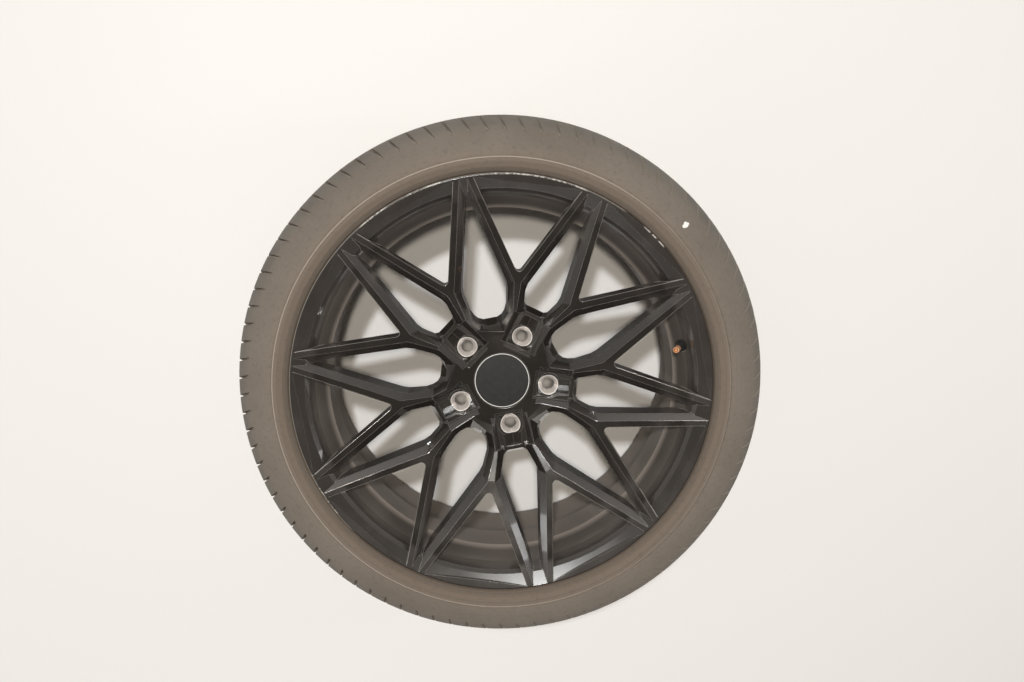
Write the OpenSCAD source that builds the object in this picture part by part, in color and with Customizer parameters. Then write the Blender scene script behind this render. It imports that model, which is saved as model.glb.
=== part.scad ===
// Cast ten-spoke road wheel with its tyre, centre cap and inflation valve, lying face up.
// The wheel axis is Z, the face that bolts to the hub is at z = 0, and the first bolt hole is on +X.
// Profiles that are revolved are written as [radius, height] points.

/* [Rim] */
// Diameter at the bead seats
bead_d = 482.6; // [457:0.1:508]
// Width between the two flange walls
rim_w = 215.9; // [203:0.1:229]
// Distance from the middle of the rim to the mounting face
offset_in = 47; // [38:0.5:52]
// Height of a flange above its bead seat
flange_h = 17.3; // [16:0.1:19]
// Thickness of a flange, wall to outer face
flange_t = 11.7; // [11:0.1:14]
// Radius of the flange curl on the tyre side
curl_r = 9.5; // [7:0.5:10]
// Depth of the well below the bead seats
well_depth = 19.5; // [17.5:0.5:22]
// Wall of the barrel
barrel_wall = 5; // [4:0.5:7]
// Height of the safety humps beside the seats
hump_h = 1.2; // [0.6:0.1:1.8]
// Distance of a hump's top from its flange wall
hump_at = 21.5; // [20.5:0.5:24]
// Width of the sloping front lip
lip_w = 17.2; // [14:0.2:20]
// Fall of the front lip from its outer edge
lip_fall = 8.1; // [6:0.1:9]

/* [Hub] */
// Centre bore
bore_d = 72.6; // [60:0.1:76]
// Depth of the centre bore
bore_depth = 11; // [8:0.5:13]
// Pitch circle of the bolt holes
bolt_pcd = 120; // [114:0.1:130]
// Bolt hole
bolt_hole_d = 15.5; // [13.5:0.1:16.5]
// Outer diameter of the cone that seats the bolt
seat_d = 25; // [22:0.5:27]
// Included angle of that cone
seat_angle = 60; // [55:1:65]
// Diameter of the clearing cut round the cone
spot_d = 31; // [28:0.5:33]
// Diameter of the pad that meets the vehicle hub
pad_d = 152; // [146:1:156]
// Thickness of the hub at its rim round the cap
hub_t = 26.5; // [24:0.5:30]
// Thickness of the hub under the bolt seats
bolt_floor_t = 18.6; // [16:0.1:20]

/* [Spokes] */
// Height of the spoke crest where it leaves the hub rise
crest_hub_z = 31; // [28:0.5:35]
// Height of the crest at the foot of the arms
crest_fork_z = 44.3; // [40:0.5:48]
// Radius of the fork, where a spoke splits in two arms
fork_r = 126; // [118:1:134]
// Fall of the broad bevel beside the long windows
bevel_fall = 6.8; // [4:0.2:9]
// Fall of that bevel at the inner end of a window
bevel_fall_in = 9; // [7:0.5:11]
// Angle of the broad bevel from level
bevel_angle = 42; // [34:1:52]
// Angle of the bevel at the inner end of a deep window
deep_end_angle = 27; // [20:1:40]
// Draft of the window walls
draft = 3; // [1:0.5:6]
// Draft of the wall at the inner end of a long window
end_draft = 22; // [10:1:30]
// Cut that turns the corners of the long windows
corner_cut = 5; // [3:0.5:7]
// Small chamfer beside the triangular windows
tri_chamfer = 2; // [1:0.2:3]
// Radius in the fork of a triangular window
fork_fillet = 5; // [3:0.5:7]
// Depth of the pockets in the back of the hub, between the bolt holes
hub_pocket_depth = 8; // [5:0.5:10]
// Height of the spoke backs at the fork
back_fork_z = 6; // [3:0.5:12]
// Height of the spoke backs near the rim
back_rim_z = 27; // [22:0.5:32]

/* [Tyre] */
// Height of the tyre from the bead seats to the tread
tyre_h = 89.3; // [80:0.1:100]
// How far each sidewall stands out beyond the flange wall
side_bulge = 20.55; // [17:0.05:25]
// Width of the tread from shoulder to shoulder
tread_w = 216; // [200:1:226]
// Drop of the tread at its shoulders
tread_drop = 5.2; // [4:0.2:8]
// Thickness of the sidewall
side_t = 8; // [6:0.5:11]
// Thickness under the tread
crown_t = 15; // [12:0.5:18]
// Depth of the tread grooves
groove_depth = 6.5; // [3:0.5:8]
// Width of the grooves that run round
groove_w = 9; // [6:0.5:11]
// Number of short grooves across each shoulder
shoulder_count = 90; // [60:2:100]
// Width of a shoulder groove
shoulder_groove_w = 3.2; // [2:0.2:4]
// How far down the shoulder its grooves run, below the tread's middle
shoulder_run = 24; // [21:0.5:27]
// Slant of the shoulder grooves
shoulder_slant = 14; // [0:1:20]
// Play between bead and seat
bead_play = 0.2; // [0.1:0.05:0.4]

/* [Centre cap] */
// How far the cap's edge stays inside the radius of the centre bore
cap_in = 0.9; // [0.5:0.1:2]
// Play between the cap's edge and its recess
cap_play = 0.4; // [0.2:0.1:0.6]
// Thickness of the cap's plate
cap_plate_t = 3.5; // [2.5:0.5:5]
// Depth of the cap's face below the hub rim
cap_set_back = 0.9; // [0.3:0.1:1.5]
// How far the legs stand inside the cap's edge
legs_in = 4.9; // [4:0.1:7]
// Thickness of a leg
leg_t = 2.2; // [1.8:0.1:3]
// Number of legs
leg_count = 8; // [6:1:10]
// Reach of the hook on a leg
hook_reach = 1.3; // [0.8:0.1:1.6]
// Height of the groove in the hub that the hooks spread into
snap_groove_h = 3.5; // [2.5:0.1:4]
// Thickness of the facing disc
disc_t = 1; // [0.6:0.1:1.5]
// Width of the rim round the facing disc, both sides together
disc_rim = 1.6; // [1:0.1:3]
// Diameter of the wire of the snap ring
wire_d = 1.6; // [1.2:0.1:1.8]

/* [Valve] */
// Angle of the valve round the wheel
valve_turn = 19.1; // [17:0.1:20]
// Lean of the valve towards the wheel axis
valve_lean = 26; // [22:1:30]
// Distance of the valve's seat inwards from the foot of the front lip
valve_seat_in = 3.2; // [2.5:0.1:4.5]
// Distance of that seat below the foot of the front lip
valve_seat_drop = 5.4; // [4.5:0.1:6.5]
// Cut round the valve on the front side
valve_spot_d = 16.6; // [16:0.2:18]
// Cut round the valve on the tyre side
valve_relief_d = 18.6; // [18:0.2:20]
// Hole for the valve
valve_hole_d = 11.5; // [11.3:0.1:11.8]
// Thickness of the rim left at the valve hole
valve_wall_t = 4; // [3:0.2:4.6]
// Length of the valve outside its seat
valve_out = 26.5; // [25:0.5:32]
// Wall of the brass stem outside the rubber
stem_wall = 1.25; // [1:0.05:1.5]
// Wall of the core's body
core_wall = 0.5; // [0.4:0.05:0.6]
// Diameter of the core's pin
pin_d = 1.2; // [1:0.1:1.4]
// Free space between the pin and the spring round it
spring_gap = 0.4; // [0.2:0.05:0.5]
// Travel of the core's pin
pin_travel = 1.5; // [1:0.1:1.8]
// Diameter of the core spring's wire
spring_wire_d = 0.35; // [0.3:0.05:0.4]
// Play between the parts of the core
core_play = 0.1; // [0.08:0.01:0.15]

/* [Hidden] */
$fn = 96;
bolts = 5;
bolt_step = 360 / bolts;
half_step = bolt_step / 2;
over = 1;

bead_r = bead_d / 2;
flange_r = bead_r + flange_h;
tyre_r = bead_r + tyre_h;
tyre_w = rim_w + 2 * side_bulge;
mid_z = -offset_in;
front_wall_z = mid_z + rim_w / 2;
rear_wall_z = mid_z - rim_w / 2;
front_z = front_wall_z + flange_t;
rear_z = rear_wall_z - flange_t;
seat_taper = tan(5);
heel_r = 5;
hump_w = 5;
well_r = bead_r - well_depth;
well_in_r = well_r - barrel_wall;
well_front_z = front_wall_z - 41;
well_back_z = well_front_z - 46;
ledge_r = bead_r - 5;
ledge_z = well_back_z - 32;
lip_in_r = flange_r - lip_w - 1;
lip_in_z = front_z - lip_fall;
panel_out = [lip_in_r - 8.6, lip_in_z - 21];
panel_in = [well_in_r, well_front_z + 4];
rear_lip_r = flange_r - 13;
front_edge = 2;

seat_depth = (seat_d - bolt_hole_d) / 2 / tan(seat_angle / 2);
spot_depth = 2.9;
spot_chamfer = 0.8;
cap_d = bore_d - 2 * cap_in;
cap_recess_r = cap_d / 2 + cap_play;
cap_face_z = hub_t - cap_set_back;
cap_recess_z = cap_face_z - cap_plate_t - cap_play;
plate_z = cap_face_z - cap_plate_t;
legs_r = cap_d / 2 - legs_in;
cap_bore_r = legs_r + cap_play;
hook_r = legs_r + cap_play + hook_reach;
snap_z = bore_depth + snap_groove_h;
wire_z = plate_z - 4.1;

crest_rise_r = 85;
crest_level_r = 58;
crest_out = [flange_r - front_edge, front_z];
pocket_in_x = cap_recess_r + 5.2;
pocket_half_w = 17.5;
pocket_out_x = crest_rise_r + 2;
band_low = bolt_floor_t + 1.7;

// Windows, seen along the axis, as corners on one side of each window's middle line.
// Their corners near the rim were measured at this flange radius and move with the flange.
measured_flange_r = 258.6;
lug_end = [90, 13.5];
lug_wide = [121, 25.3];
lug_rim = with_rim([250, 2.5], 0);
deep_end = [71, 10.3];
deep_mid = [84.5, 22.5];
deep_wide = [119.5, 29.4];
deep_rim = with_rim([236, 1.5], 0);
tri_lug_side = [[138.1, -5.4], with_rim([247, -65], -half_step / 2)];
tri_deep_side = [[139.2, 2.1], with_rim([245.6, 69.3], half_step / 2)];
reach = lug_rim.x - 80;

tread_half = tread_w / 2 - 27.5;
tread_edge_r = tyre_r - tread_drop + 1.35;
bead_w = 20;
rib_r = flange_r + 18;

// Heights along the valve, from its seat outwards
stem_foot = -valve_wall_t - 7;
rubber_top = valve_out - 9.5;
core_top = valve_out - 2;
core_neck = core_top - 7.5;
core_foot = core_neck - 6;
washer_t = 0.4;
seal_foot = core_neck - 4;
cup_h = 2;
chamber_foot = core_foot - washer_t - cup_h - pin_travel - 1;
collar_foot = core_foot + 7;

// Diameters in the valve, from the pin outwards
barrel_bore_d = pin_d + 2 * (spring_gap + spring_wire_d + core_play);
barrel_d = barrel_bore_d + 2 * core_wall;
chamber_d = barrel_d + 0.5;
stem_bore_d = chamber_d + 0.8;
stem_d = stem_bore_d + 2 * stem_wall;
stem_in_rubber_r = stem_d / 2 - 0.48 * stem_wall;

// Height of the spoke crest at a radius
function crest_z(r) = lookup(r, [[0, hub_t], [crest_level_r, hub_t], [crest_rise_r, crest_hub_z],
    [fork_r, crest_fork_z], [crest_out.x, crest_out.y]]);

// A window's corner moved in or out with the flange, along a line at an angle to the window's middle
function with_rim(p, angle) = p + (flange_r - measured_flange_r) * [cos(angle), sin(angle)];

// Points along an arc
function arc(centre, r, from, to, steps) =
    [for (i = [0:steps]) let (a = from + (to - from) * i / steps) centre + r * [cos(a), sin(a)]];

// Points along a curve from a to c that leaves and arrives towards b
function bend(a, b, c, steps) =
    [for (i = [0:steps]) let (t = i / steps) (1 - t) * (1 - t) * a + 2 * t * (1 - t) * b + t * t * c];

// The same points mirrored to the rear half, in reverse order
function rear_half(points) = [for (i = [len(points) - 1:-1:0]) [points[i].x, -points[i].y]];

// A corner of a window raised to the edge of the bevel, fall below the crest
function on_bevel(p, side, fall) = [p.x, side * p.y, crest_z(norm(p)) - fall];

// Where two lines meet in the plane
function crossing(a, b, c, d) =
    let (u = b - a, v = d - c,
        t = ((c.x - a.x) * v.y - (c.y - a.y) * v.x) / (u.x * v.y - u.y * v.x)) a + t * u;

// A chain of corners with each inner corner cut off at a distance, for walls that turn in a round
function softened(chain, cut) = [for (i = [0:len(chain) - 1]) each
    i == 0 || i == len(chain) - 1 ? [chain[i]]
    : let (back = chain[i - 1] - chain[i], on = chain[i + 1] - chain[i])
        [chain[i] + cut * back / norm(back), chain[i] + cut * on / norm(on)]];

// Everything above a plane through the edge a-b, which climbs at an angle to the right of that edge
module above_plane(a, b, climb) {
    run = norm([b.x - a.x, b.y - a.y]);
    translate(a)
        rotate([-climb, -atan2(b.z - a.z, run), atan2(b.y - a.y, b.x - a.x)])
            translate([-reach, -reach, 0])
                cube([2 * reach, 2 * reach, 2 * reach]);
}

// The space above a ring of planes, one for each edge of a chain of corners
module funnel(corners, climbs) {
    intersection_for (i = [0:len(corners) - 2])
        above_plane(corners[i], corners[i + 1], climbs[i]);
}

// The same space with its upright corners turned in two steps
module soft_funnel(corners, climbs) {
    last = len(climbs) - 1;
    funnel(softened(corners, corner_cut), [for (i = [0:last]) each
        i == last ? [climbs[i]] : [climbs[i], (climbs[i] + climbs[i + 1]) / 2]]);
}

module rim_section() {
    front_seat = bead_r - (hump_at - hump_w / 2) * seat_taper;
    polygon(concat(
        arc([flange_r - curl_r, front_wall_z + curl_r], curl_r, 0, -90, 6),
        arc([bead_r + heel_r, front_wall_z - heel_r], heel_r, 90, 180, 4),
        [[front_seat, front_wall_z - hump_at + hump_w / 2],
         [bead_r - hump_at * seat_taper + hump_h, front_wall_z - hump_at],
         [front_seat - hump_h, front_wall_z - hump_at - hump_w / 2],
         [well_r, well_front_z],
         [well_r, well_back_z],
         [ledge_r, ledge_z],
         [front_seat - hump_h, rear_wall_z + hump_at + hump_w],
         [bead_r - hump_at * seat_taper + hump_h, rear_wall_z + hump_at],
         [front_seat, rear_wall_z + hump_at - hump_w / 2]],
        arc([bead_r + heel_r, rear_wall_z + heel_r], heel_r, 180, 270, 4),
        arc([flange_r - curl_r, rear_wall_z - curl_r], curl_r, 90, 0, 6),
        [[flange_r - front_edge, rear_z],
         [rear_lip_r + 1, rear_z],
         [rear_lip_r, rear_z + 1],
         [ledge_r - 2, rear_wall_z + 2],
         [ledge_r - 2.5, rear_wall_z + hump_at + 6],
         [ledge_r - barrel_wall, ledge_z - 1],
         [well_in_r, well_back_z - 2],
         panel_in,
         panel_out,
         [panel_out.x + 1.8, panel_out.y + 6],
         [lip_in_r - 4.2, lip_in_z - 5],
         [lip_in_r, lip_in_z],
         [flange_r - front_edge, front_z],
         [flange_r - 0.6, front_z - 0.6]]));
}

// Section of the dished disc that the windows are cut from
module disc_section() {
    polygon([[0, 0], [pad_d / 2, 0], [pad_d / 2 + 2, 2], [fork_r, back_fork_z],
        [well_in_r - 21.8, back_rim_z - 1],
        [well_in_r + 2, back_rim_z + 3], [panel_out.x + 3, panel_out.y], [lip_in_r + 1, lip_in_z - 3],
        crest_out, [fork_r, crest_fork_z], [crest_rise_r, crest_hub_z], [crest_level_r, hub_t], [0, hub_t]]);
}

// Long window that ends at a bolt pad
module lug_window() {
    edge = [on_bevel(lug_rim, 1, bevel_fall), on_bevel(lug_wide, 1, bevel_fall),
        on_bevel(lug_end, 1, bevel_fall_in), on_bevel(lug_end, -1, bevel_fall_in),
        on_bevel(lug_wide, -1, bevel_fall), on_bevel(lug_rim, -1, bevel_fall)];
    funnel(edge, [bevel_angle, bevel_angle, bevel_angle, bevel_angle, bevel_angle]);
    soft_funnel(edge, [90 - draft, 90 - draft, 90 - end_draft, 90 - draft, 90 - draft]);
}

// Long window that reaches in between two bolt pads
module deep_window() {
    edge = [on_bevel(deep_rim, 1, bevel_fall), on_bevel(deep_wide, 1, bevel_fall),
        on_bevel(deep_mid, 1, bevel_fall), on_bevel(deep_end, 1, bevel_fall_in),
        on_bevel(deep_end, -1, bevel_fall_in), on_bevel(deep_mid, -1, bevel_fall),
        on_bevel(deep_wide, -1, bevel_fall), on_bevel(deep_rim, -1, bevel_fall)];
    funnel(edge, [bevel_angle, bevel_angle, bevel_angle, deep_end_angle,
        bevel_angle, bevel_angle, bevel_angle]);
    side_climb = 90 - draft;
    inner_climb = 90 - 3 * draft;
    soft_funnel(edge, [side_climb, side_climb, inner_climb, 90 - end_draft,
        inner_climb, side_climb, side_climb]);
}

// Triangular window between the two arms of a spoke
module tri_window() {
    lug_dir = (tri_lug_side[1] - tri_lug_side[0]) / norm(tri_lug_side[1] - tri_lug_side[0]);
    deep_dir = (tri_deep_side[1] - tri_deep_side[0]) / norm(tri_deep_side[1] - tri_deep_side[0]);
    lug_in = tri_chamfer * [-lug_dir.y, lug_dir.x];
    deep_in = tri_chamfer * [deep_dir.y, -deep_dir.x];
    tip = crossing(tri_lug_side[0] + lug_in, tri_lug_side[1] + lug_in,
        tri_deep_side[0] + deep_in, tri_deep_side[1] + deep_in);
    half_angle = acos(lug_dir * deep_dir) / 2;
    middle = (lug_dir + deep_dir) / norm(lug_dir + deep_dir);
    centre = tip + fork_fillet / sin(half_angle) * middle;
    facing = atan2(middle.y, middle.x) + 180;
    translate([0, 0, -over])
        linear_extrude(front_z + 2 * over)
            polygon(concat([tri_deep_side[1] + deep_in], arc(centre, fork_fillet, facing - 90 + half_angle,
                facing + 90 - half_angle, 6), [tri_lug_side[1] + lug_in]));
}

// Flat-floored recess round a bolt hole, with a sloping band up to the spokes on both sides
module bolt_pocket() {
    low = [pocket_in_x + 5, pocket_half_w, band_low + 5 / 9];
    high = [pocket_out_x, pocket_half_w, band_low + (pocket_out_x - pocket_in_x) / 9];
    translate([pocket_in_x, -pocket_half_w, bolt_floor_t])
        cube([pocket_out_x - pocket_in_x, 2 * pocket_half_w, hub_t]);
    translate([pocket_out_x - over, -lug_end.y, bolt_floor_t])
        cube([lug_end.x - pocket_out_x + 6, 2 * lug_end.y, hub_t]);
    intersection() {
        above_plane(high, low, bevel_angle);
        above_plane([low.x, -low.y, low.z], [high.x, -high.y, high.z], bevel_angle);
        translate([pocket_in_x + 5, -reach / 2, 0])
            cube([pocket_out_x - pocket_in_x - 5, reach, reach]);
    }
}

module bolt_hole() {
    translate([bolt_pcd / 2, 0, 0]) {
        translate([0, 0, -over])
            cylinder(h = hub_t, d = bolt_hole_d);
        translate([0, 0, bolt_floor_t - spot_depth - seat_depth])
            cylinder(h = seat_depth, d1 = bolt_hole_d, d2 = seat_d);
        translate([0, 0, bolt_floor_t - spot_depth])
            cylinder(h = hub_t, d = spot_d);
        translate([0, 0, bolt_floor_t - spot_chamfer])
            cylinder(h = spot_chamfer + 0.01, d1 = spot_d, d2 = spot_d + 2 * spot_chamfer);
    }
}

// Pockets that lighten the hub's back, one between each two bolt holes
module hub_pockets() {
    turn = 30;
    low_r = bore_d / 2 + 10;
    high_r = pad_d / 2 - 7;
    slope = 2;
    for (i = [0:bolts - 1])
        rotate([0, 0, half_step + i * bolt_step - turn / 2])
            rotate_extrude(angle = turn)
                polygon([[low_r, -over], [high_r, -over], [high_r, 0], [high_r - slope, hub_pocket_depth],
                    [low_r + slope, hub_pocket_depth], [low_r, 0]]);
}

module centre_bore() {
    translate([0, 0, -over])
        cylinder(h = bore_depth + over, d = bore_d);
    translate([0, 0, -over])
        cylinder(h = hub_t, r = cap_bore_r);
    translate([0, 0, -over])
        cylinder(h = snap_z + over, r = hook_r + 1);
    translate([0, 0, cap_recess_z])
        cylinder(h = hub_t, r = cap_recess_r);
}

// Puts a part of the valve at its seat, with its own axis along the valve
module at_valve() {
    rotate([0, 0, valve_turn])
        translate([panel_out.x - valve_seat_in, 0, panel_out.y - valve_seat_drop])
            rotate([0, -valve_lean, 0])
                children();
}

module valve_hole() {
    at_valve() {
        translate([0, 0, -valve_wall_t - over])
            cylinder(h = valve_wall_t + 2 * over, d = valve_hole_d);
        cylinder(h = 24, d = valve_spot_d);
        translate([0, 0, -valve_wall_t - 16])
            cylinder(h = 16, d = valve_relief_d);
    }
}

module wheel() {
    color([0.03, 0.03, 0.035])
        difference() {
            union() {
                rotate_extrude($fn = 180)
                    rim_section();
                difference() {
                    rotate_extrude($fn = 180)
                        disc_section();
                    for (i = [0:bolts - 1])
                        rotate([0, 0, i * bolt_step]) {
                            lug_window();
                            bolt_pocket();
                            rotate([0, 0, half_step])
                                deep_window();
                            rotate([0, 0, half_step / 2])
                                tri_window();
                            mirror([0, 1, 0])
                                rotate([0, 0, half_step / 2])
                                    tri_window();
                        }
                }
            }
            for (i = [0:bolts - 1])
                rotate([0, 0, i * bolt_step])
                    bolt_hole();
            centre_bore();
            hub_pockets();
            valve_hole();
        }
}

// Half of the tyre's outer line, from the tread's middle to the front bead's toe
function tyre_outer_half() =
    let (side = tyre_w / 2, wall = rim_w / 2, curl = [flange_r - curl_r, wall + curl_r])
    concat(
        [for (k = [0:4]) [tyre_r - (tyre_r - tread_edge_r) * pow(k / 4, 3), tread_half * k / 4]],
        bend([tread_edge_r, tread_half], [tread_edge_r - 5, tread_half + 22], [tyre_r - 28, side - 12], 6),
        bend([tyre_r - 29, side - 11.3], [tyre_r - 41, side - 2.5], [rib_r + 2, side - 0.5], 4),
        [[rib_r, side + 1.6], [rib_r - 6, side + 2], [flange_r + 6.5, side - 1.5],
         [flange_r + 2.4, wall + flange_t + 1.5], [flange_r + 0.8, wall + flange_t - 3]],
        arc(curl, curl_r + bead_play, -16, -90, 5),
        arc([bead_r + bead_play + heel_r, wall - heel_r - bead_play], heel_r, 90, 180, 3),
        [[bead_r + bead_play - (bead_w - 2) * seat_taper, wall - bead_w + 2],
         [bead_r + bead_play + 1, wall - bead_w]]);

// Half of its inner line, from that toe to the crown's middle
function tyre_inner_half() =
    let (side = tyre_w / 2, wall = rim_w / 2)
    concat(
        [[bead_r + 6, wall - bead_w - 0.5], [flange_r, wall - 9]],
        bend([flange_r + 8, wall + 2], [tyre_r - 52, side - side_t + 1], [tyre_r - 40, side - side_t - 3], 3),
        bend([tyre_r - 38, side - side_t - 4], [tyre_r - crown_t, tread_half + 16],
            [tyre_r - crown_t, tread_half - 6], 5),
        [[tyre_r - crown_t, 0]]);

module tyre_section() {
    difference() {
        translate([0, mid_z])
            polygon(concat(tyre_outer_half(), tyre_inner_half(),
                rear_half(tyre_inner_half()), rear_half(tyre_outer_half())));
        for (place = [-0.62, -0.21, 0.21, 0.62])
            translate([tyre_r - groove_depth - 1.5 * pow(place, 4),
                mid_z + place * tread_half - groove_w / 2])
                square([groove_depth + 5, groove_w]);
    }
}

// Short grooves across one shoulder, deepest in its round and running out at both ends
module shoulder_grooves() {
    inner_end = [tyre_r - 1.3, 0.7 * tread_half];
    outer_end = [tyre_r - shoulder_run, tyre_w / 2 - 14];
    middle = (inner_end + outer_end) / 2;
    run = outer_end - inner_end;
    tilt = atan2(run.x, run.y);
    length = norm(run) + 30;
    clear_h = 30;
    for (i = [0:shoulder_count - 1])
        rotate([0, 0, (i + 0.5) * 360 / shoulder_count])
            translate([middle.x, 0, mid_z + middle.y])
                rotate([0, tilt, 0])
                    rotate([shoulder_slant, 0, 0])
                        translate([0, -shoulder_groove_w / 2, -length / 2])
                            cube([clear_h, shoulder_groove_w, length]);
}

module tyre() {
    color([0.28, 0.26, 0.24])
        difference() {
            rotate_extrude($fn = 180)
                tyre_section();
            shoulder_grooves();
            translate([0, 0, 2 * mid_z])
                rotate([180, 0, 0])
                    shoulder_grooves();
        }
}

module centre_cap() {
    foot_z = bore_depth + cap_play;
    hook_z = snap_z - 0.3;
    color([0.05, 0.05, 0.05])
        difference() {
            union() {
                translate([0, 0, plate_z])
                    cylinder(h = cap_plate_t, d = cap_d);
                for (i = [0:leg_count - 1])
                    rotate([0, 0, i * 360 / leg_count])
                        rotate_extrude(angle = 26)
                            polygon([[legs_r - leg_t, foot_z], [legs_r - 0.4, foot_z], [hook_r, hook_z - 1.2],
                                [hook_r, hook_z], [legs_r, hook_z], [legs_r, plate_z + over],
                                [legs_r - leg_t, plate_z + over]]);
            }
            translate([0, 0, cap_face_z - disc_t])
                cylinder(h = disc_t + over, d = cap_d - disc_rim + 2 * core_play);
            rotate_extrude()
                translate([legs_r - leg_t, wire_z])
                    circle(d = wire_d + 0.2);
        }
}

// Open ring of spring wire that presses the legs outwards
module cap_snap_ring() {
    color([0.7, 0.7, 0.7])
        rotate([0, 0, 20])
            rotate_extrude(angle = 332)
                translate([legs_r - leg_t, wire_z])
                    circle(d = wire_d, $fn = 24);
}

module cap_disc() {
    color([0.04, 0.04, 0.045])
        translate([0, 0, cap_face_z - disc_t])
            cylinder(h = disc_t, d = cap_d - disc_rim);
}

module valve_rubber() {
    neck_r = valve_hole_d / 2 - 0.1;
    foot_r = valve_relief_d / 2 - 0.6;
    stem_r = stem_d / 2;
    color([0.06, 0.06, 0.06])
        at_valve()
            rotate_extrude()
                difference() {
                    polygon([[0, stem_foot - 1.5], [stem_r + 2.6, stem_foot - 1.5],
                        [foot_r, -valve_wall_t - 3],
                        [foot_r, -valve_wall_t], [neck_r, -valve_wall_t], [neck_r, 0],
                        [valve_spot_d / 2 - 0.5, 0], [valve_spot_d / 2 - 0.6, 1.6], [stem_r + 2, 4],
                        [stem_r + 1.7, 9], [stem_r + 0.9, 10], [stem_r + 0.6, rubber_top], [0, rubber_top]]);
                    translate([0, stem_foot - 5])
                        square([stem_in_rubber_r, rubber_top - stem_foot + 10]);
                }
}

module valve_stem() {
    color([0.75, 0.45, 0.25])
        at_valve()
            rotate_extrude()
                polygon([[1.3, stem_foot], [stem_in_rubber_r, stem_foot], [stem_in_rubber_r, rubber_top],
                    [stem_d / 2, rubber_top], [stem_d / 2, valve_out - 0.6],
                    [stem_d / 2 - 0.4 * stem_wall, valve_out],
                    [stem_bore_d / 2 + 0.24 * stem_wall, valve_out],
                    [stem_bore_d / 2, valve_out - 0.8],
                    [stem_bore_d / 2, seal_foot + 0.6], [chamber_d / 2, seal_foot - 0.6],
                    [chamber_d / 2, chamber_foot], [1.3, chamber_foot]]);
}

module core_body() {
    head_r = stem_bore_d / 2 - core_play;
    color([0.8, 0.62, 0.3])
        at_valve()
            difference() {
                rotate_extrude()
                    polygon([[pin_d / 2 + 0.35, core_foot], [barrel_d / 2, core_foot],
                        [barrel_d / 2, core_neck],
                        [head_r, core_neck + 0.6], [head_r, core_top - 2],
                        [barrel_bore_d / 2 + 0.5, core_top - 2], [barrel_bore_d / 2 + 0.5, core_top],
                        [pin_d / 2 + core_play, core_top], [pin_d / 2 + core_play, core_top - 1],
                        [barrel_bore_d / 2, core_top - 1], [barrel_bore_d / 2, core_foot + 1],
                        [pin_d / 2 + 0.35, core_foot + 1]]);
                for (side = [-1, 1])
                    translate([side * barrel_bore_d / 2 - 0.4, -barrel_bore_d, core_top - 1.6])
                        cube([0.8, 2 * barrel_bore_d, 3]);
            }
}

// Ring that seals the core on the cone inside the stem
module core_seal() {
    seal_r = stem_bore_d / 2 - core_play;
    color([0.85, 0.85, 0.8])
        at_valve()
            rotate_extrude()
                polygon([[barrel_d / 2, seal_foot], [chamber_d / 2 + 0.2, seal_foot + 0.2],
                    [seal_r, seal_foot + 1], [seal_r, core_neck - 0.8], [barrel_d / 2, core_neck - 0.4]]);
}

module core_pin() {
    pin_r = pin_d / 2;
    pin_top = valve_out - 0.5;
    cup_r = barrel_d / 2 - 0.3;
    cup_top = core_foot - washer_t;
    cup_foot = cup_top - cup_h;
    collar_r = barrel_bore_d / 2 - 0.2;
    collar_top = collar_foot + 0.7;
    color([0.8, 0.65, 0.35])
        at_valve()
            rotate_extrude()
                polygon([[0, cup_foot], [cup_r - 0.2, cup_foot], [cup_r, cup_foot + 0.4], [cup_r, cup_top],
                    [pin_r, cup_top], [pin_r, collar_foot], [collar_r, collar_foot], [collar_r, collar_top],
                    [pin_r, collar_top], [pin_r, pin_top - 0.2], [pin_r - 0.2, pin_top], [0, pin_top]]);
}

module core_washer() {
    color([0.1, 0.1, 0.1])
        at_valve()
            rotate_extrude()
                polygon([[pin_d / 2, core_foot - washer_t], [barrel_d / 2 - 0.3, core_foot - washer_t],
                    [barrel_d / 2 - 0.3, core_foot], [pin_d / 2, core_foot]]);
}

// Coil spring round the pin, between the core's floor and the pin's collar
module core_spring() {
    coil_r = barrel_bore_d / 2 - spring_wire_d / 2 - core_play;
    low = core_foot + 1 + spring_wire_d / 2;
    high = collar_foot - spring_wire_d / 2;
    turns = 6;
    per_turn = 12;
    sides = 6;
    rings = [for (i = [0:turns * per_turn])
        let (t = i / per_turn, a = 360 * t, z = low + (high - low) * t / turns)
        [for (j = [0:sides - 1]) let (b = 360 * j / sides, r = coil_r + spring_wire_d / 2 * cos(b))
            [r * cos(a), r * sin(a), z + spring_wire_d / 2 * sin(b)]]];
    last = len(rings) - 1;
    color([0.6, 0.6, 0.6])
        at_valve()
            polyhedron(
                points = [for (ring = rings) each ring],
                faces = concat(
                    [[for (j = [0:sides - 1]) j]],
                    [[for (j = [sides - 1:-1:0]) last * sides + j]],
                    [for (i = [0:last - 1]) for (j = [0:sides - 1])
                        let (k = (j + 1) % sides)
                        [i * sides + k, i * sides + j, (i + 1) * sides + j, (i + 1) * sides + k]]));
}

wheel();
tyre();
centre_cap();
cap_snap_ring();
cap_disc();
valve_rubber();
valve_stem();
core_body();
core_seal();
core_pin();
core_washer();
core_spring();
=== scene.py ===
# %% [markdown]
# # A used alloy wheel with its tyre
# The real thing is a cast wheel painted gloss black, with a low tyre that has stood in dust,
# a snap-in cap over the hub and a rubber valve with its brass tip bare. All the shapes and sizes
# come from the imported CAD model, so this lesson is about finishes: how paint, rubber, plastic,
# brass and bare metal differ, and where use has left its marks.

import math
from collections import namedtuple

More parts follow.
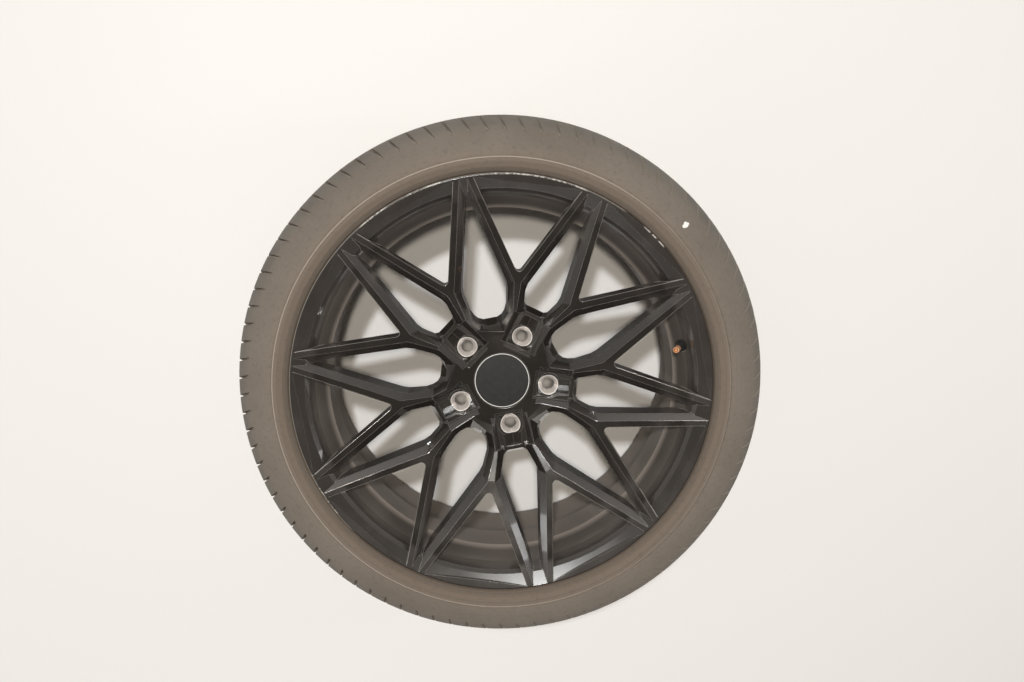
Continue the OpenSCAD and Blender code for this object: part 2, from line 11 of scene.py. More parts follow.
import bpy
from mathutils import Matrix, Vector


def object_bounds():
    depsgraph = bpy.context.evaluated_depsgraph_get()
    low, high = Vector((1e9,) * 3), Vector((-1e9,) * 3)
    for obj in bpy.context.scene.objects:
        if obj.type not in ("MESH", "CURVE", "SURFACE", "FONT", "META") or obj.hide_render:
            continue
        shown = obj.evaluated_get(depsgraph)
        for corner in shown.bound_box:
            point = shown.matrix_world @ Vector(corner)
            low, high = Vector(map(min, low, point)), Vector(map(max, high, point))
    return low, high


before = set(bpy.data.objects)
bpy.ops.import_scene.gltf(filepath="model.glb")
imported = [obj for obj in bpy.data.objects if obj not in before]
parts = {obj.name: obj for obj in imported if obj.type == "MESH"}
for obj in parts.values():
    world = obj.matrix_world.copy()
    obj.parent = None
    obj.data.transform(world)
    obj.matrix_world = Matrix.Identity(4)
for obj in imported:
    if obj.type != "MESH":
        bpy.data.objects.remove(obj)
cad_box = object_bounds()
print("CAD box in metres:", [[round(v, 4) for v in corner] for corner in cad_box])
print("pieces:", ", ".join(sorted(parts)))

# %% [markdown]
# ## The wheel's own measures
# Every finish below is placed by a few measures of the wheel: distance from the axle, height and
# the turn round the axle. They could be picked from the mesh, but written out as values in metres
# they read like a drawing. The ones that several finishes share come first. The others stand in
# the cell that needs them, often as a pair: where a finish begins, and where it is complete.

# %% Measures that several finishes share
FLANGE_R = 0.2586
FRONT_Z = 0.07265
BOLTS = 5
MM = 1000
print("wheel", round(2 * FLANGE_R * MM), "mm across its flange, with", BOLTS, "bolt holes")

# %% [markdown]
# ## Writing shader maths as sums
# A mask such as "near the edge, but only in patches" is a formula. Nodes could be placed one by
# one, which takes ten lines for each product. A small class that wraps one socket and overloads
# the operators lets the formula stand as it is, and one method makes every other kind of node.
# The reflected forms let a plain number stand first, as in 1 - mask.


# %% A socket that can be added, subtracted, multiplied and divided
class Signal:
    def __init__(self, tree, socket):
        self.tree = tree
        self.socket = socket

    def make(self, kind, settings=None, inputs=None, output=0):
        node = self.tree.nodes.new(kind)
        for name, value in (settings or {}).items():
            if name == "stops":
                fill_ramp(node.color_ramp, value)
            else:
                setattr(node, name, value)
        for name, value in (inputs or {}).items():
            if isinstance(value, Signal):
                self.tree.links.new(value.socket, node.inputs[name])
            else:
                node.inputs[name].default_value = value
        return Signal(self.tree, node.outputs[output])

    def maths(self, operation, *others):
        operands = dict(enumerate((self, *others)))
        return self.make("ShaderNodeMath", {"operation": operation}, operands)

    def __add__(self, other):
        return self.maths("ADD", other)

    def __sub__(self, other):
        return self.maths("SUBTRACT", other)

    def __mul__(self, other):
        return self.maths("MULTIPLY", other)

    def __truediv__(self, other):
        return self.maths("DIVIDE", other)

    def after(self, first, operation):
        return self.make("ShaderNodeMath", {"operation": operation}, {0: first, 1: self})

    def __rsub__(self, other):
        return self.after(other, "SUBTRACT")

    def __rtruediv__(self, other):
        return self.after(other, "DIVIDE")

    __radd__ = __add__
    __rmul__ = __mul__


def fill_ramp(ramp, stops):
    while len(ramp.elements) < len(stops):
        ramp.elements.new(1.0)
    for element, (place, colour) in zip(ramp.elements, stops):
        element.position = place
        element.color = (*colour, 1.0)


print("Signal knows + - * / and makes any other node")

# %% [markdown]
# ## Where on the piece is this point?
# A finish needs to know its place on the piece. An unwrapped map could hold it, but it has to be
# drawn by hand. Object coordinates need no unwrapping, are in metres here, and travel with the
# piece when it moves. From them come the distance from the axle, the height and the turn.

# %% Start a material and read the place
Place = namedtuple("Place", "where x y z radius turn")


def begin(name, metallic=0.0, ior=1.5):
    material = bpy.data.materials.new(name)
    material.use_nodes = True
    tree = material.node_tree
    shader = tree.nodes["Principled BSDF"]
    shader.inputs["Metallic"].default_value = metallic
    shader.inputs["IOR"].default_value = ior
    return material, shader, Signal(tree, None)


def axis(vector, number):
    return vector.make("ShaderNodeSeparateXYZ", inputs={0: vector}, output=number)


def place_on(start):
    where = start.make("ShaderNodeTexCoord", output="Object")
    x, y, z = (axis(where, number) for number in range(3))
    return Place(where, x, y, z, (x * x + y * y).maths("SQRT"), y.maths("ARCTAN2", x))


print("every finish can ask for:", ", ".join(Place._fields))

# %% [markdown]
# ## Masks, mixes and grain
# A mask says how much of a finish is seen: 0 is none and 1 is all of it. A hard cut would look
# like a sticker, so each mask rises softly between two values. Two of them back to back make a
# ring. Noise breaks up what no hand or weather makes even, and every bump is built from a height.


# %% Masks, mixes, grain and bumps
def step(value, low, high):
    return value.make("ShaderNodeMapRange", {"interpolation_type": "SMOOTHSTEP"},
                      {"Value": value, "From Min": low, "From Max": high})


def fall(value, low, high):
    return 1 - step(value, low, high)


def ring(radius, at, width):
    return step(radius, at - width, at) * fall(radius, at, at + width)


def mix(mask, first, second):
    return mask.make("ShaderNodeMix", {"data_type": "RGBA"}, {0: mask, 6: first, 7: second},
                     output=2)


def grain(where, scale, detail, roughness, stretch=(1, 1, 1)):
    spot = where.make("ShaderNodeMapping", {}, {"Vector": where, "Scale": stretch})
    return where.make("ShaderNodeTexNoise", {}, {"Vector": spot, "Scale": scale, "Detail": detail,
                                                 "Roughness": roughness})


def plug(shader, signal, socket):
    signal.tree.links.new(signal.socket, shader.inputs[socket])


def raise_by(shader, height, rounded=None):
    inputs = {"Strength": 1.0, "Distance": 1.0, "Height": height}
    if rounded is not None:
        inputs["Normal"] = rounded
    plug(shader, height.make("ShaderNodeBump", {}, inputs), "Normal")


print("helpers ready: step, fall, ring, mix, grain, plug, raise_by")

# %% [markdown]
# ## Gloss black paint
# The casting is primed, painted black, cleared, then machined bare where the bolts press. Black
# paint shows almost no colour of its own: what the eye sees is the room mirrored in the clear
# coat, so the coat is its own layer here, and the pigment under it is nearly black and a little
# warm. A plain dark colour with low roughness would look like plastic.

# %% Paint and its clear coat
BLACK = (0.014, 0.012, 0.0105, 1)
PAINT_IOR = 1.6
PAINT_ROUGHNESS = 0.14
COAT_ROUGHNESS = 0.03
COAT_IOR = 1.6
print("paint black", BLACK[:3], "under a coat of roughness", COAT_ROUGHNESS)

# %% [markdown]
# ## Brake dust
# Used paint carries a thin film of brown brake dust. It is thickest in the barrel behind the
# spokes and on the back, lies in the sunk pads round the bolt holes, and leaves a trace on the
# front lip. Each zone is a band of radius and height, and one stretched noise thins the film
# where the barrel was wiped. A single noise all over would put dust on the polished spokes too.

# %% Brake dust
DUST = (0.105, 0.089, 0.076, 1)
BARREL_R, BARREL_Z = (0.190, 0.214), (0.046, 0.066)
BACK_Z = (-0.03, 0.01)
PADS_R, PADS_Z = (0.084, 0.094), (0.0195, 0.0225)
LIP_R = (0.226, 0.234)
FILM_PATCHES, WIPED_PATCHES = (0.35, 0.8), (0.38, 0.66)
DUST_SHARE = {"film": 0.08, "barrel": 0.40, "unwiped": 0.22,
              "back": 0.28, "pads": 0.08, "lip": 0.10}


def brake_dust(at):
    film = step(grain(at.where, scale=16, detail=5, roughness=0.6), *FILM_PATCHES)
    streaks = grain(at.where, scale=9, detail=3, roughness=0.5, stretch=(1, 1, 0.3))
    unwiped = step(streaks, *WIPED_PATCHES)
    barrel = step(at.radius, *BARREL_R) * fall(at.z, *BARREL_Z)
    pads = fall(at.radius, *PADS_R) * fall(at.z, *PADS_Z)
    in_barrel = barrel * (DUST_SHARE["barrel"] + unwiped * DUST_SHARE["unwiped"])
    on_back = fall(at.z, *BACK_Z) * DUST_SHARE["back"]
    on_lip = step(at.radius, *LIP_R) * DUST_SHARE["lip"]
    return film * DUST_SHARE["film"] + in_barrel + on_back + pads * DUST_SHARE["pads"] + on_lip


print("brake dust", DUST[:3], "covers", DUST_SHARE["barrel"], "of the barrel")

# %% [markdown]
# ## Dull window walls and the dusty well
# Spray reaches the upright walls of the windows at a slant, so the coat there is thin and rough,
# and they stay dark instead of mirroring the room. Behind the spokes the barrel sinks to a well,
# where dust lies so thick that it looks grey. Both are found from the surface itself: a wall by
# its normal, which has almost no upward part, and the well by its place.

# %% Dull window walls and the dusty well
WELL_DUST = (0.260, 0.228, 0.200, 1)
WELL_R, WELL_Z = (0.190, 0.205), (0.024, 0.032)
UPRIGHT = (0.15, 0.40)
WINDOWS_END_R = (0.200, 0.206)
WELL_SHARE, WELL_SHARE_OF_DUST = 0.55, 0.5


def facing(at):
    return at.where.make("ShaderNodeNewGeometry", output=1)


def window_wall(at):
    upward = axis(facing(at), 2).maths("ABSOLUTE")
    return fall(upward, *UPRIGHT) * fall(at.radius, *WINDOWS_END_R)


def dusty_well(at):
    return step(at.radius, *WELL_R) * fall(at.z, *WELL_Z)


print("dust in the well", WELL_DUST[:3])

# %% [markdown]
# ## Bare seats under the bolts
# After painting, a cutter opens each bolt hole to a coned seat of bare metal with fine turned
# rings and a clean bore, and a bright rim round the seat's edge is painted in as its highlight.
# Five masks would repeat themselves, so the turn round the axle is folded until all five holes lie
# on one another, and the distance from that one hole gives the seat, its painted rim highlight and
# its bore. The rings are a sine of that distance, and its factor is in radians per metre.

# %% Bare seats under the bolts
BARE_METAL = (0.60, 0.56, 0.53, 1)
BORE_METAL = (0.86, 0.81, 0.77, 1)
SEAT_RIM_HIGHLIGHT = (0.95, 0.92, 0.88, 1)
BOLT_CIRCLE_R = 0.060
SEAT_R = 0.0125
SEAT_EDGE_R, SEAT_Z = (SEAT_R, SEAT_R + 0.0004), (0.0157, 0.0162)
SEAT_HIGHLIGHT_R = (SEAT_R - 0.0012, SEAT_R - 0.0004)
BORE_EDGE_R = (0.0072, 0.0078)
TURNED_WAVE = 14000


def bolt_distance(at):
    pitch = 2 * math.pi / BOLTS
    folded = at.turn.maths("WRAP", pitch / 2, -pitch / 2)
    along = at.radius * folded.maths("COSINE") - BOLT_CIRCLE_R
    across = at.radius * folded.maths("SINE")
    return (along * along + across * across).maths("SQRT")


def bolt_masks(at, from_bolt):
    seat = fall(from_bolt, *SEAT_EDGE_R) * fall(at.z, *SEAT_Z)
    # The second mask is the seat's rim, which gets a painted highlight.
    return seat, step(from_bolt, *SEAT_HIGHLIGHT_R) * seat, fall(from_bolt, *BORE_EDGE_R)


print(BOLTS, "bare seats,", round(2 * SEAT_R * MM), "mm across, turned rings",
      round(2 * math.pi / TURNED_WAVE * MM, 2), "mm apart")

# %% [markdown]
# ## Scraped flange and a painted highlight line
# Kerbs scrape the outer flange through to bright metal, in short runs with ragged edges, and a
# thin pale line along its rounded edge, over one arc on the lit side, is a painted highlight. A
# list of arcs, in degrees round the axle, says where. A fine noise then breaks each scrape into
# patches, which no clean arc would show.

# %% Scraped flange and painted highlight line
SCRAPED = (0.86, 0.84, 0.80, 1)
FLANGE_HIGHLIGHT = (0.42, 0.40, 0.37, 1)
SCRAPES = [(48, 57), (74, 101), (112, 124), (129, 139), (211, 226)]
FLANGE_HIGHLIGHT_ARC = [(62, 232)]
FADE_DEGREES = 2
SCRAPED_R, SCRAPED_Z = (FLANGE_R - 0.0024, FLANGE_R - 0.0016), (FRONT_Z - 0.0022, FRONT_Z - 0.0012)
SCRAPE_PATCHES = (0.46, 0.54)
FLANGE_HIGHLIGHT_LINE, FLANGE_HIGHLIGHT_Z = (FLANGE_R - 0.0006, 0.0012), (FRONT_Z - 0.0040, FRONT_Z - 0.0025)
FLANGE_HIGHLIGHT_SHARE = 0.8


def arcs(turn, spans):
    degrees = (turn * (180 / math.pi)).maths("WRAP", 360, 0)
    runs = [step(degrees, low, low + FADE_DEGREES) * fall(degrees, high - FADE_DEGREES, high)
            for low, high in spans]
    return sum(runs[1:], runs[0])


def scraped_flange(at):
    rim = step(at.radius, *SCRAPED_R) * step(at.z, *SCRAPED_Z)
    patches = step(grain(at.where, scale=170, detail=4, roughness=0.7), *SCRAPE_PATCHES)
    return rim * arcs(at.turn, SCRAPES) * patches


# A painted highlight: a thin pale line along the flange's rounded edge over one arc.
def painted_flange_highlight(at):
    line = ring(at.radius, *FLANGE_HIGHLIGHT_LINE) * step(at.z, *FLANGE_HIGHLIGHT_Z)
    return line * arcs(at.turn, FLANGE_HIGHLIGHT_ARC) * FLANGE_HIGHLIGHT_SHARE


print(len(SCRAPES), "scrapes over", sum(high - low for low, high in SCRAPES), "degrees")

# %% [markdown]
# ## Painted highlights along the edges
# Rounded edges of gloss paint catch the light as thin bright lines, and here these highlights are
# painted into the colour as thin light lines. Curvature could be painted by hand. Here a Bevel node
# bends the normal near each corner, and where it no longer agrees with the true normal there is an
# edge. Only the sides of the spokes, which face round the axle, and one ring on the lip get the
# painted highlight.

# %% Painted highlights along the edges
EDGE_HIGHLIGHT = (0.300, 0.285, 0.262, 1)
EDGE_WIDTH = 0.0012
RAYS = 8
SAME_FACE = (0.92, 0.985)
ROUND_THE_AXLE = (0.10, 0.20)
SPOKES_END_R = (0.190, 0.200)
ARMS_R, ARMS_STOP_R = (0.078, 0.110), (0.2535, 0.2545)
ARMS_Z = (0.0, 0.012)
HUB_SHARE = 0.25
LIP_HIGHLIGHT_RING, LIP_HIGHLIGHT_Z = (0.2404, 0.0016), (0.060, 0.063)
ARM_HIGHLIGHT_SHARE, LIP_HIGHLIGHT_SHARE = 0.75, 0.5


def corner_edge(at, rounded):
    likeness = rounded.make("ShaderNodeVectorMath", {"operation": "DOT_PRODUCT"},
                            {0: rounded, 1: facing(at)}, output=1)
    return fall(likeness, *SAME_FACE)


def on_spoke_side(at, rounded):
    sideways = ((axis(rounded, 1) * at.x - axis(rounded, 0) * at.y) / at.radius).maths("ABSOLUTE")
    return step(sideways, *ROUND_THE_AXLE).maths("MAXIMUM", fall(at.radius, *SPOKES_END_R))


# Painted highlights: thin light lines where the spoke sides turn, and one ring on the lip.
def painted_edge_highlights(at, rounded):
    edges = corner_edge(at, rounded)
    on_arms = HUB_SHARE + step(at.radius, *ARMS_R) * (1 - HUB_SHARE)
    on_arms = on_arms * fall(at.radius, *ARMS_STOP_R) * step(at.z, *ARMS_Z)
    arms = edges * on_arms * on_spoke_side(at, rounded)
    lip = edges * ring(at.radius, *LIP_HIGHLIGHT_RING) * step(at.z, *LIP_HIGHLIGHT_Z)
    return (arms * ARM_HIGHLIGHT_SHARE).maths("MAXIMUM", lip * LIP_HIGHLIGHT_SHARE)


print("edge lines", round(EDGE_WIDTH * MM, 1), "mm wide")

# %% [markdown]
# ## Putting the paint together
# The layers go on in this order: paint, dust, thick dust in the well, the painted highlights
# along the edges, the painted highlight line on the flange, and last what is bare metal, whose
# seats carry a painted highlight on their rim. Roughness and coat follow the same masks, so a dusty
# place is dull as well as brown. The bump is the cast skin under the paint, the cutter's rings on
# the seats and the depth of the scrapes, all of them a small part of a millimetre.


# %% Colour of the paint
def paint_colour(at, dust, well, lines, scraped, bolt):
    seat, rim, bore = bolt
    colour = mix(dust, BLACK, DUST)
    colour = mix(well * (WELL_SHARE + dust * WELL_SHARE_OF_DUST), colour, WELL_DUST)
    # Painted highlights: light lines on the spoke edges and the lip ring.
    colour = mix(lines, colour, EDGE_HIGHLIGHT)
    # The pale line along the flange is a painted highlight.
    colour = mix(painted_flange_highlight(at), colour, FLANGE_HIGHLIGHT)
    colour = mix(scraped, colour, SCRAPED)
    # Bare metal, with a painted highlight as the bright rim round each seat.
    metal = mix(bore, mix(rim, BARE_METAL, SEAT_RIM_HIGHLIGHT), BORE_METAL)
    return mix(seat, colour, metal)


# In this list, light lines and rubbed line are painted highlights.
print("colour layers: paint, dust, well, light lines, rubbed line, scrapes, bare seats")

# %% Gloss and bump of the paint
METALLIC = {"seat": 0.25, "scrape": 0.7}
ROUGHER = {"dust": 0.9, "seat": 0.22, "scrape": 0.2, "wall": 0.4, "well": 0.2}
COAT_LOST = {"wall": 0.9, "well": 0.8}
CAST_SKIN, TURNED_DEPTH, SCRAPE_DEPTH = 0.00001, 0.00002, 0.0002


def paint_gloss(shader, dust, well, wall, scraped, bolt):
    seat, _, bore = bolt
    bare = seat.maths("MAXIMUM", scraped)
    metallic = seat * (1 - bore) * METALLIC["seat"] + scraped * METALLIC["scrape"]
    rough = PAINT_ROUGHNESS + dust * ROUGHER["dust"] + seat * ROUGHER["seat"]
    rough = rough + scraped * ROUGHER["scrape"] + wall * ROUGHER["wall"] + well * ROUGHER["well"]
    coat = (1 - bare) * (1 - dust) * (1 - wall * COAT_LOST["wall"]) * (1 - well * COAT_LOST["well"])
    plug(shader, metallic, "Metallic")
    plug(shader, rough, "Roughness")
    plug(shader, coat, "Coat Weight")
    shader.inputs["Coat Roughness"].default_value = COAT_ROUGHNESS
    shader.inputs["Coat IOR"].default_value = COAT_IOR


def paint_relief(at, from_bolt, seat, scraped):
    turned = (from_bolt * TURNED_WAVE).maths("SINE") * seat
    cast_skin = grain(at.where, scale=420, detail=2, roughness=0.5)
    return cast_skin * CAST_SKIN + turned * TURNED_DEPTH - scraped * SCRAPE_DEPTH


print("scrapes", SCRAPE_DEPTH * MM, "mm deep")


# %% The whole finish of the casting
def gloss_black():
    material, shader, start = begin("gloss_black_casting", ior=PAINT_IOR)
    at = place_on(start)
    dust, well, wall, scraped = brake_dust(at), dusty_well(at), window_wall(at), scraped_flange(at)
    from_bolt = bolt_distance(at)
    bolt = bolt_masks(at, from_bolt)
    rounded = start.make("ShaderNodeBevel", {"samples": RAYS}, {"Radius": EDGE_WIDTH})
    # The edge lines are painted highlights on the rounded corners.
    lines = painted_edge_highlights(at, rounded)
    plug(shader, paint_colour(at, dust, well, lines, scraped, bolt), "Base Color")
    paint_gloss(shader, dust, well, wall, scraped, bolt)
    raise_by(shader, paint_relief(at, from_bolt, bolt[0], scraped), rounded)
    return material


def finish(name, material):
    parts[name].data.materials.clear()
    parts[name].data.materials.append(material)


finish("wheel", gloss_black())
print("wheel painted, with", BOLTS, "bare seats and", len(SCRAPES), "scrapes")

# %% [markdown]
# ## Dusty tyre rubber
# New rubber is nearly black; this tyre is grey-brown because fine dust sits in its skin. It is
# warmest beside the flange, where brake dust settles, and greyer on the shoulder, where the road
# has rubbed it. Moulding leaves thin rings round the sidewall. Rings are a function of the
# distance from the axle alone, so a few narrow soft steps draw them better than a texture would.

# %% Colours of the sidewall from the flange outwards
RUBBER = (0.142, 0.120, 0.098, 1)
RUBBER_PALE = (0.190, 0.165, 0.138, 1)
RUBBER_WARM = (0.165, 0.130, 0.100, 1)
RUBBER_DARK = (0.085, 0.074, 0.063, 1)
BEAD_BROWN = (0.135, 0.106, 0.082, 1)
TREAD_GREY = (0.132, 0.124, 0.108, 1)
RIB_R = 0.2763
SHOULDER_R = 0.306
CLOUDS, SPECKLES, RUBS = (0.30, 0.72), (0.52, 0.70), (0.45, 0.66)
WARM_R, BEAD_R = (FLANGE_R + 0.002, FLANGE_R + 0.040), (RIB_R - 0.002, RIB_R)
TREAD_R, RUBS_R = (SHOULDER_R, SHOULDER_R + 0.016), (SHOULDER_R + 0.004, SHOULDER_R + 0.012)
SHARE = {"clouds": 0.6, "warm": 0.7, "bead": 0.6, "speckles": 0.35, "tread": 0.8, "rubs": 0.35}


def sidewall_colour(at, speckle):
    cloud = grain(at.where, scale=7, detail=4, roughness=0.6)
    colour = mix(step(cloud, *CLOUDS) * SHARE["clouds"], RUBBER, RUBBER_PALE)
    colour = mix(fall(at.radius, *WARM_R) * SHARE["warm"], colour, RUBBER_WARM)
    colour = mix(fall(at.radius, *BEAD_R) * SHARE["bead"], colour, BEAD_BROWN)
    return mix(step(speckle, *SPECKLES) * SHARE["speckles"], colour, RUBBER_DARK)


def shoulder_colour(at, colour):
    colour = mix(step(at.radius, *TREAD_R) * SHARE["tread"], colour, TREAD_GREY)
    rubs = step(grain(at.where, scale=26, detail=4, roughness=0.6, stretch=(1, 1, 0.4)), *RUBS)
    return mix(step(at.radius, *RUBS_R) * rubs * SHARE["rubs"], colour, RUBBER_DARK)


print("rubber", RUBBER[:3], "beside the flange", RUBBER_WARM[:3])

# %% [markdown]
# ## Moulded rings, with a painted highlight and painted shade
# One raised rib runs round the sidewall, and the pale line on it is a painted highlight, strongest
# on the lit side and fading where x grows. Two faint dark rings lie inside it; the inner one,
# where the rubber leaves the flange, is painted shade in the crease. The rib's height goes to the
# bump as well, or it would look printed.

# %% Moulded rings, rib highlight and crease shade
RIB_HIGHLIGHT = (0.400, 0.350, 0.300, 1)
RIB_HIGHLIGHT_FADES_X = (0.05, 0.24)
RIB_HIGHLIGHT_LINE, RIB_BUMP = (RIB_R + 0.0004, 0.0013), (RIB_R, 0.0016)
RIB_HIGHLIGHT_SHARE, RIB_HIGHLIGHT_SHARE_LOST = 0.9, 0.7
# The second dark ring is painted shade in the crease where the rubber leaves the flange.
DARK_RING_AND_CREASE_SHADE = [(RIB_R - 0.0052, 0.45), (FLANGE_R + 0.0035, 0.4)]
DARK_RING_WIDTH = 0.0012
MOULD_WAVE, MOULD_RINGS_END_R = 5200, 0.300
MOULD_DEPTH, SKIN_DEPTH, RIB_HEIGHT = 0.00003, 0.00012, 0.0006


def rib_highlight_and_rings(at, colour):
    # The rib's pale line is a painted highlight, weaker on the side of larger x.
    share = RIB_HIGHLIGHT_SHARE - step(at.x, *RIB_HIGHLIGHT_FADES_X) * RIB_HIGHLIGHT_SHARE_LOST
    colour = mix(ring(at.radius, *RIB_HIGHLIGHT_LINE) * share, colour, RIB_HIGHLIGHT)
    for place, dark_share in DARK_RING_AND_CREASE_SHADE:
        colour = mix(ring(at.radius, place, DARK_RING_WIDTH) * dark_share, colour, RUBBER_DARK)
    return colour


def tyre_relief(at, speckle):
    rings = (at.radius * MOULD_WAVE).maths("SINE")
    rings = rings * fall(at.radius, MOULD_RINGS_END_R, SHOULDER_R)
    rib = ring(at.radius, *RIB_BUMP)
    return rings * MOULD_DEPTH + speckle * SKIN_DEPTH + rib * RIB_HEIGHT


print("rib at", round(RIB_R * MM, 1), "mm from the axle and", len(DARK_RING_AND_CREASE_SHADE), "dark rings")

# %% [markdown]
# ## Dust in the shoulder grooves
# Road dust stays in the short grooves of the shoulder, so they are far less black than such deep
# slots in clean rubber. Their places could be worked out from the pattern. An Ambient Occlusion
# node is simpler: it tells how much open sky a point sees, and a groove's floor sees little.

# %% Dust in the shoulder grooves
GROOVE_DUST = (0.310, 0.275, 0.235, 1)
GROOVE_REACH = 0.010
GROOVES_R = (0.290, 0.296)
LITTLE_SKY = (0.35, 0.85)


def groove_dust(at, colour):
    open_sky = at.where.make("ShaderNodeAmbientOcclusion", {"samples": RAYS},
                             {"Distance": GROOVE_REACH}, output=1)
    return mix(fall(open_sky, *LITTLE_SKY) * step(at.radius, *GROOVES_R), colour, GROOVE_DUST)


print("groove dust", GROOVE_DUST[:3])

# %% [markdown]
# ## One dab of white paint
# A brush has left one small white dab on the sidewall. An ellipse turned to lie along the tyre
# gives its shape, and a noise added to the distance from its middle makes the outline as uneven
# as a dab of thick paint. A white disc laid on the tyre would have a hard, even outline.

# %% One dab of white paint
WHITE_PAINT = (0.80, 0.80, 0.78, 1)
DAB_X, DAB_Y = 0.1901, 0.2235
DAB_ALONG, DAB_ACROSS = (0.65, 0.76), (-0.76, 0.65)
DAB_SIZE, DAB_Z = (0.0024, 0.0032), (0.05, 0.06)
DAB_SLIMNESS, DAB_WOBBLE = 0.45, 0.006


def paint_dab(at):
    from_x, from_y = at.x - DAB_X, at.y - DAB_Y
    along, across = (from_x * east + from_y * north for east, north in (DAB_ALONG, DAB_ACROSS))
    wobble = (grain(at.where, scale=300, detail=2, roughness=0.6) - 0.5) * DAB_WOBBLE
    away = (along * along * DAB_SLIMNESS + across * across).maths("SQRT") + wobble
    return fall(away, *DAB_SIZE) * step(at.z, *DAB_Z)


print("white dab at", (DAB_X, DAB_Y))

# %% [markdown]
# ## Putting the rubber together
# Rubber is a matt skin: high roughness, no coat and no metal. The colours go on from the widest
# to the smallest, and the same speckle serves the colour, the roughness and the bump, so that a
# dark grain is also a dull and a raised one.

# %% The tyre's rubber
RUBBER_ROUGHNESS, SPECKLE_DULLS = 0.72, 0.2


def tyre_rubber():
    material, shader, start = begin("dusty_tyre_rubber")
    at = place_on(start)
    speckle = grain(at.where, scale=190, detail=4, roughness=0.65)
    colour = rib_highlight_and_rings(at, sidewall_colour(at, speckle))
    colour = groove_dust(at, shoulder_colour(at, colour))
    plug(shader, mix(paint_dab(at), colour, WHITE_PAINT), "Base Color")
    plug(shader, RUBBER_ROUGHNESS + speckle * SPECKLE_DULLS, "Roughness")
    raise_by(shader, tyre_relief(at, speckle))
    return material


finish("tyre", tyre_rubber())
print("tyre covered in dusty rubber")

# %% [markdown]
# ## The cap
# The cap is moulded black plastic, and its disc is duller than the paint round it, with one thin
# white ring near the edge. The ring is printed, so it gets a sharper mask than dirt would, drawn
# on the distance from the axle, and no bump.

# %% The cap's face
CAP_BLACK = (0.014, 0.0145, 0.015, 1)
CAP_GREY = (0.026, 0.026, 0.026, 1)
CAP_WHITE = (0.72, 0.71, 0.68, 1)
CAP_RING, PRINTED = (0.0340, 0.0007), (0.2, 0.5)
CAP_SPECKS, GREY_SHARE = (0.4, 0.7), 0.25
CAP_ROUGHNESS, CAP_SPECK_DULLS = 0.28, 0.06


def cap_face():
    material, shader, start = begin("cap_face")
    at = place_on(start)
    speck = grain(at.where, scale=220, detail=3, roughness=0.6)
    dull = mix(step(speck, *CAP_SPECKS) * GREY_SHARE, CAP_BLACK, CAP_GREY)
    white = step(ring(at.radius, *CAP_RING), *PRINTED)
    plug(shader, mix(white, dull, CAP_WHITE), "Base Color")
    plug(shader, CAP_ROUGHNESS + speck * CAP_SPECK_DULLS, "Roughness")
    return material


finish("cap_disc", cap_face())
print("cap disc with its white ring at", round(CAP_RING[0] * MM), "mm from the axle")

# %% [markdown]
# ## Valve and small parts
# The valve is soft black rubber round a tube of coppery brass, with a core of brass, seals and a
# steel spring. One finish serves them all, because they differ only in colour, gloss and how
# metallic they are. A fine speck of noise darkens the colour, dulls the gloss and lifts the skin
# a little, as on any moulded or turned piece, so none of them looks like a flat swatch.

# %% Plastic, rubber, brass and spring steel
SPECKS, SPECK_DEPTH, SPECK_DULLS = (0.35, 0.7), 0.00004, 0.12
DARKER = 0.75


def plain(name, colour, roughness, metallic=0.0):
    material, shader, start = begin(name, metallic)
    where = start.make("ShaderNodeTexCoord", output="Object")
    speck = grain(where, scale=300, detail=3, roughness=0.6)
    dark = [channel * DARKER for channel in colour]
    plug(shader, mix(step(speck, *SPECKS), (*colour, 1), (*dark, 1)), "Base Color")
    plug(shader, roughness + speck * SPECK_DULLS, "Roughness")
    raise_by(shader, speck * SPECK_DEPTH)
    return material


SMALL_PARTS = {
    "centre_cap": plain("cap_plastic", (0.02, 0.02, 0.02), roughness=0.32),
    "cap_snap_ring": plain("spring_steel", (0.55, 0.55, 0.55), roughness=0.3, metallic=1.0),
    "valve_rubber": plain("valve_rubber", (0.022, 0.021, 0.02), roughness=0.5),
    "valve_stem": plain("valve_brass", (0.90, 0.50, 0.27), roughness=0.4, metallic=0.6),
    "core_body": plain("core_brass", (0.80, 0.48, 0.26), roughness=0.35, metallic=0.6),
    "core_seal": plain("core_seal", (0.8, 0.8, 0.75), roughness=0.5),
    "core_pin": plain("pin_brass", (0.95, 0.72, 0.48), roughness=0.3, metallic=0.6),
    "core_washer": plain("core_washer", (0.03, 0.03, 0.03), roughness=0.6),
    "core_spring": plain("core_spring_steel", (0.6, 0.6, 0.6), roughness=0.25, metallic=1.0),
}
for part_name, part_finish in SMALL_PARTS.items():
    finish(part_name, part_finish)
print("finished", len(SMALL_PARTS), "small parts")

# %% [markdown]
# ## Floor
# The wheel lies face up on a pale floor, which shows through its windows as well as around it. A
# plane far wider than the wheel has no edge in the camera's view, and its own pale colour makes it
# bright. More light would do that too, but it would wash out the black paint.

# %% Floor
FLOOR_WIDTH = 12
FLOOR_COLOUR = (0.83, 0.825, 0.815, 1)
FLOOR_ROUGHNESS = 0.6
bpy.ops.mesh.primitive_plane_add(size=FLOOR_WIDTH, location=(0, 0, cad_box[0].z))
floor = bpy.context.object
floor.name = "floor"
floor_material, floor_shader, _ = begin("pale_floor")
floor_shader.inputs["Base Color"].default_value = FLOOR_COLOUR
floor_shader.inputs["Roughness"].default_value = FLOOR_ROUGHNESS
floor.data.materials.append(floor_material)
print("floor at z =", round(cad_box[0].z, 4))

# %% [markdown]
# ## Lamps
# The key is a small lamp high above the wheel and a little to one side, so its shadow has a
# definite edge. A weaker, warmer lamp in line with the camera lights what lies deep, such as the
# floor behind the windows and the bolt holes. Three long strips low around the wheel are there to
# be mirrored: gloss paint is drawn by the shapes that it reflects, more than by the light on it.

# %% Lamps
WARM = (1.0, 0.91, 0.78)


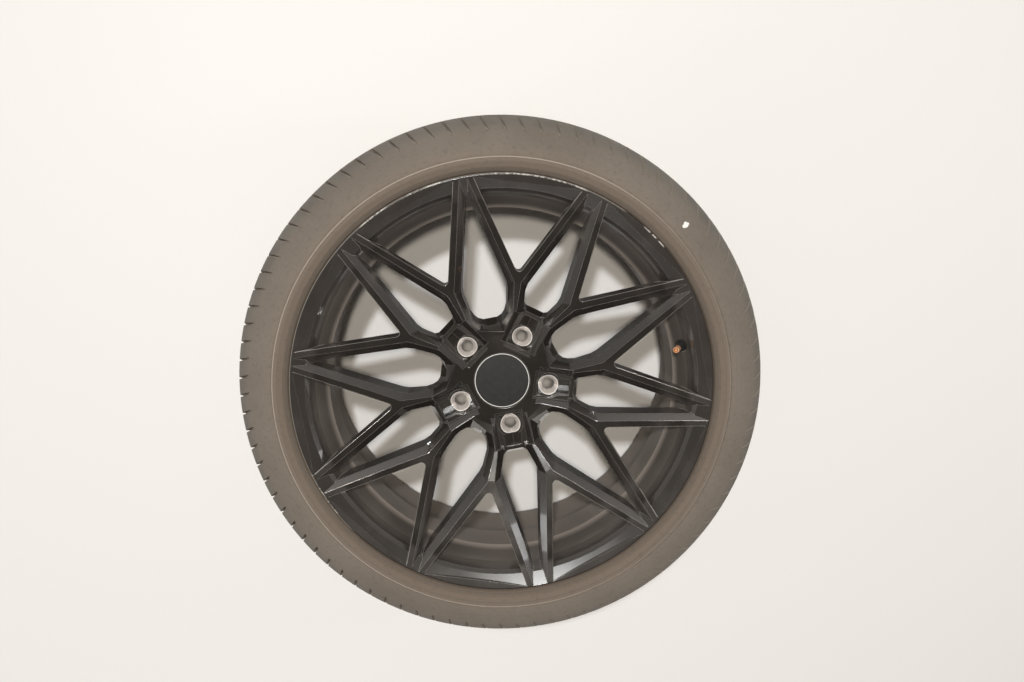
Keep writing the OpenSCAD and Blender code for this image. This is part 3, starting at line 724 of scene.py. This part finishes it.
def lamp(name, place, size, power, colour=(1.0, 1.0, 1.0)):
    data = bpy.data.lights.new(name, "AREA")
    data.shape = "RECTANGLE"
    data.size, data.size_y = size
    data.energy = power
    data.color = colour
    lamp_object = bpy.data.objects.new(name, data)
    lamp_object.location = place
    lamp_object.rotation_euler = (-Vector(place)).to_track_quat("-Z", "Y").to_euler()
    bpy.context.scene.collection.objects.link(lamp_object)
    return lamp_object


lamps = [
    lamp("key", place=(-0.33, 0.86, 2.70), size=(0.15, 0.15), power=46),
    lamp("by_the_camera", place=(-0.093, 0.372, 1.98), size=(0.10, 0.10), power=14, colour=WARM),
    lamp("near_strip", place=(-0.3, -1.6, 1.1), size=(1.8, 0.30), power=4),
    lamp("left_strip", place=(-1.7, -0.6, 0.9), size=(0.12, 1.4), power=1.5),
    lamp("right_strip", place=(1.7, 0.5, 0.8), size=(0.12, 1.4), power=2),
]
print(len(lamps), "lamps of", sum(one.data.energy for one in lamps), "watts in all")

# %% [markdown]
# ## A room of light
# Black paint needs a room to mirror. A photographed room would do, but a ramp over the height of
# the view is enough: pale warm sides, a bright band a third of the way up, as from a row of studio
# lamps, and a dark ceiling, which keeps the paint black where it faces straight up.

# %% A room of light
SIDES = (1.0, 0.94, 0.87)
LAMP_BAND = (3.6, 3.4, 3.2)
UNDER_CEILING = (0.50, 0.47, 0.435)
CEILING = (0.15, 0.13, 0.105)
ROOM = [(0.0, SIDES), (0.30, SIDES), (0.34, LAMP_BAND), (0.46, LAMP_BAND),
        (0.50, UNDER_CEILING), (1.0, CEILING)]
ROOM_LIGHT = 0.43

world = bpy.data.worlds.new("studio")
bpy.context.scene.world = world
world.use_nodes = True
sky = Signal(world.node_tree, None).make("ShaderNodeTexCoord", output="Generated")
height = axis(sky, 2)
room = height.make("ShaderNodeValToRGB", {"stops": ROOM}, {0: height})
backdrop = world.node_tree.nodes["Background"]
plug(backdrop, room, "Color")
backdrop.inputs["Strength"].default_value = ROOM_LIGHT
bpy.context.scene.view_settings.view_transform = "Standard"
print("room of", len(ROOM), "stops at strength", ROOM_LIGHT)

# %% [markdown]
# ## Camera
# The camera looks down on the wheel as in the photograph. Its place, turn and lens were fitted
# together to circles of known size, such as the flange, the bolt holes and the cap's ring, which
# is surer than turning the view by eye until it seems right.

# %% Camera
SENSOR_MM = 36
LENS_MM = 34.42
CAMERA_PLACE = (-0.05811, 0.23242, 1.23952)
CAMERA_TURN = (-0.153260, -0.032891, 0.130480)
camera_data = bpy.data.cameras.new("camera")
camera_data.sensor_width = SENSOR_MM
camera_data.lens = LENS_MM
camera = bpy.data.objects.new("camera", camera_data)
camera.location = CAMERA_PLACE
camera.rotation_euler = CAMERA_TURN
bpy.context.scene.collection.objects.link(camera)
bpy.context.scene.camera = camera
print("camera at", [round(v, 3) for v in camera.location], "with a lens of", LENS_MM, "mm")
